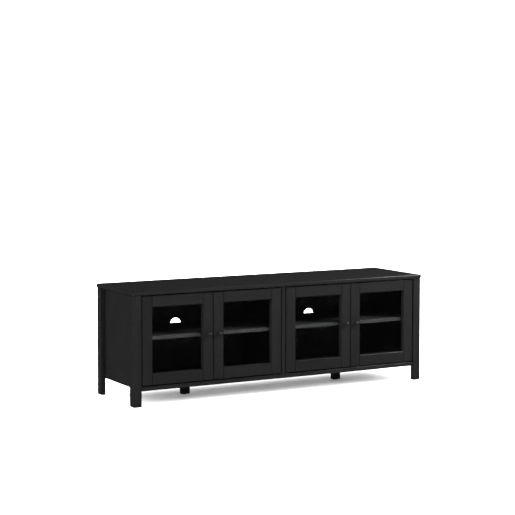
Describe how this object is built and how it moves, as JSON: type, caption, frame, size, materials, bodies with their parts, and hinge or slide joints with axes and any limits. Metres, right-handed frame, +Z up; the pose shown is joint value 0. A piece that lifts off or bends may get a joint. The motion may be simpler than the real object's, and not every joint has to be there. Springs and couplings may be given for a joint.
{
  "type": "media cabinet",
  "caption": "Low, long storage cabinet on legs with framed glass doors, adjustable shelves behind them and round cable holes in the back.",
  "frame": {"origin": "on the floor, under the centre of the cabinet's overall box, knobs included", "axes": "+X to the right as seen from the front, +Y to the back, +Z up; the doors face -Y"},
  "size_m": [1.81, 0.495, 0.6065],
  "materials": {
    "stained_wood": "dark charcoal stain with a satin lacquer",
    "back_board": "dark hardboard with a dull lacquer",
    "glass": "clear float glass",
    "knob_metal": "satin charcoal paint",
    "zinc_steel": "zinc plated",
    "black_steel": "black zinc plate",
    "cam_zinc": "die-cast zinc, dull",
    "black_plastic": "moulded black nylon",
    "beech": "bare fluted beech"
  },
  "bodies": {
    "carcass": {"back_leg_left": "stained_wood", "back_leg_right": "stained_wood", "back_panel_left": "back_board", "back_panel_right": "back_board", "back_panel_screws": "black_steel", "bottom_panel": "stained_wood", "cam_bolts": "zinc_steel", "cam_locks": "cam_zinc", "carcass_screws": "black_steel", "center_divider": "stained_wood", "center_foot_left": "stained_wood", "center_foot_right": "stained_wood", "foot_glides": "black_plastic", "front_leg_left": "stained_wood", "front_leg_right": "stained_wood", "magnet_catches": "black_plastic", "pivot_pins": "black_steel", "shelf_left": "stained_wood", "shelf_pins": "zinc_steel", "shelf_right": "stained_wood", "side_panel_left": "stained_wood", "side_panel_right": "stained_wood", "top_panel": "stained_wood", "wood_dowels": "beech"},
    "door1": {"door1_bottom_rail": "stained_wood", "door1_glass": "glass", "door1_glass_clips": "black_plastic", "door1_hinge_stile": "stained_wood", "door1_knob": "knob_metal", "door1_knob_screw": "zinc_steel", "door1_meeting_stile": "stained_wood", "door1_strike_plate": "zinc_steel", "door1_top_rail": "stained_wood"},
    "door2": {"door2_bottom_rail": "stained_wood", "door2_glass": "glass", "door2_glass_clips": "black_plastic", "door2_hinge_stile": "stained_wood", "door2_knob": "knob_metal", "door2_knob_screw": "zinc_steel", "door2_meeting_stile": "stained_wood", "door2_strike_plate": "zinc_steel", "door2_top_rail": "stained_wood"},
    "door3": {"door3_bottom_rail": "stained_wood", "door3_glass": "glass", "door3_glass_clips": "black_plastic", "door3_hinge_stile": "stained_wood", "door3_knob": "knob_metal", "door3_knob_screw": "zinc_steel", "door3_meeting_stile": "stained_wood", "door3_strike_plate": "zinc_steel", "door3_top_rail": "stained_wood"},
    "door4": {"door4_bottom_rail": "stained_wood", "door4_glass": "glass", "door4_glass_clips": "black_plastic", "door4_hinge_stile": "stained_wood", "door4_knob": "knob_metal", "door4_knob_screw": "zinc_steel", "door4_meeting_stile": "stained_wood", "door4_strike_plate": "zinc_steel", "door4_top_rail": "stained_wood"}
  },
  "joints": [
    {"name": "door1_hinge", "type": "hinge", "parent": "carcass", "child": "door1", "pos_m": [-0.838, -0.2155, 0.346], "axis": [0, 0, -1], "range_deg": [0, 110]},
    {"name": "door2_hinge", "type": "hinge", "parent": "carcass", "child": "door2", "pos_m": [-0.026, -0.2155, 0.346], "axis": [0, 0, 1], "range_deg": [0, 88]},
    {"name": "door3_hinge", "type": "hinge", "parent": "carcass", "child": "door3", "pos_m": [0.026, -0.2155, 0.346], "axis": [0, 0, -1], "range_deg": [0, 88]},
    {"name": "door4_hinge", "type": "hinge", "parent": "carcass", "child": "door4", "pos_m": [0.838, -0.2155, 0.346], "axis": [0, 0, 1], "range_deg": [0, 110]}
  ]
}
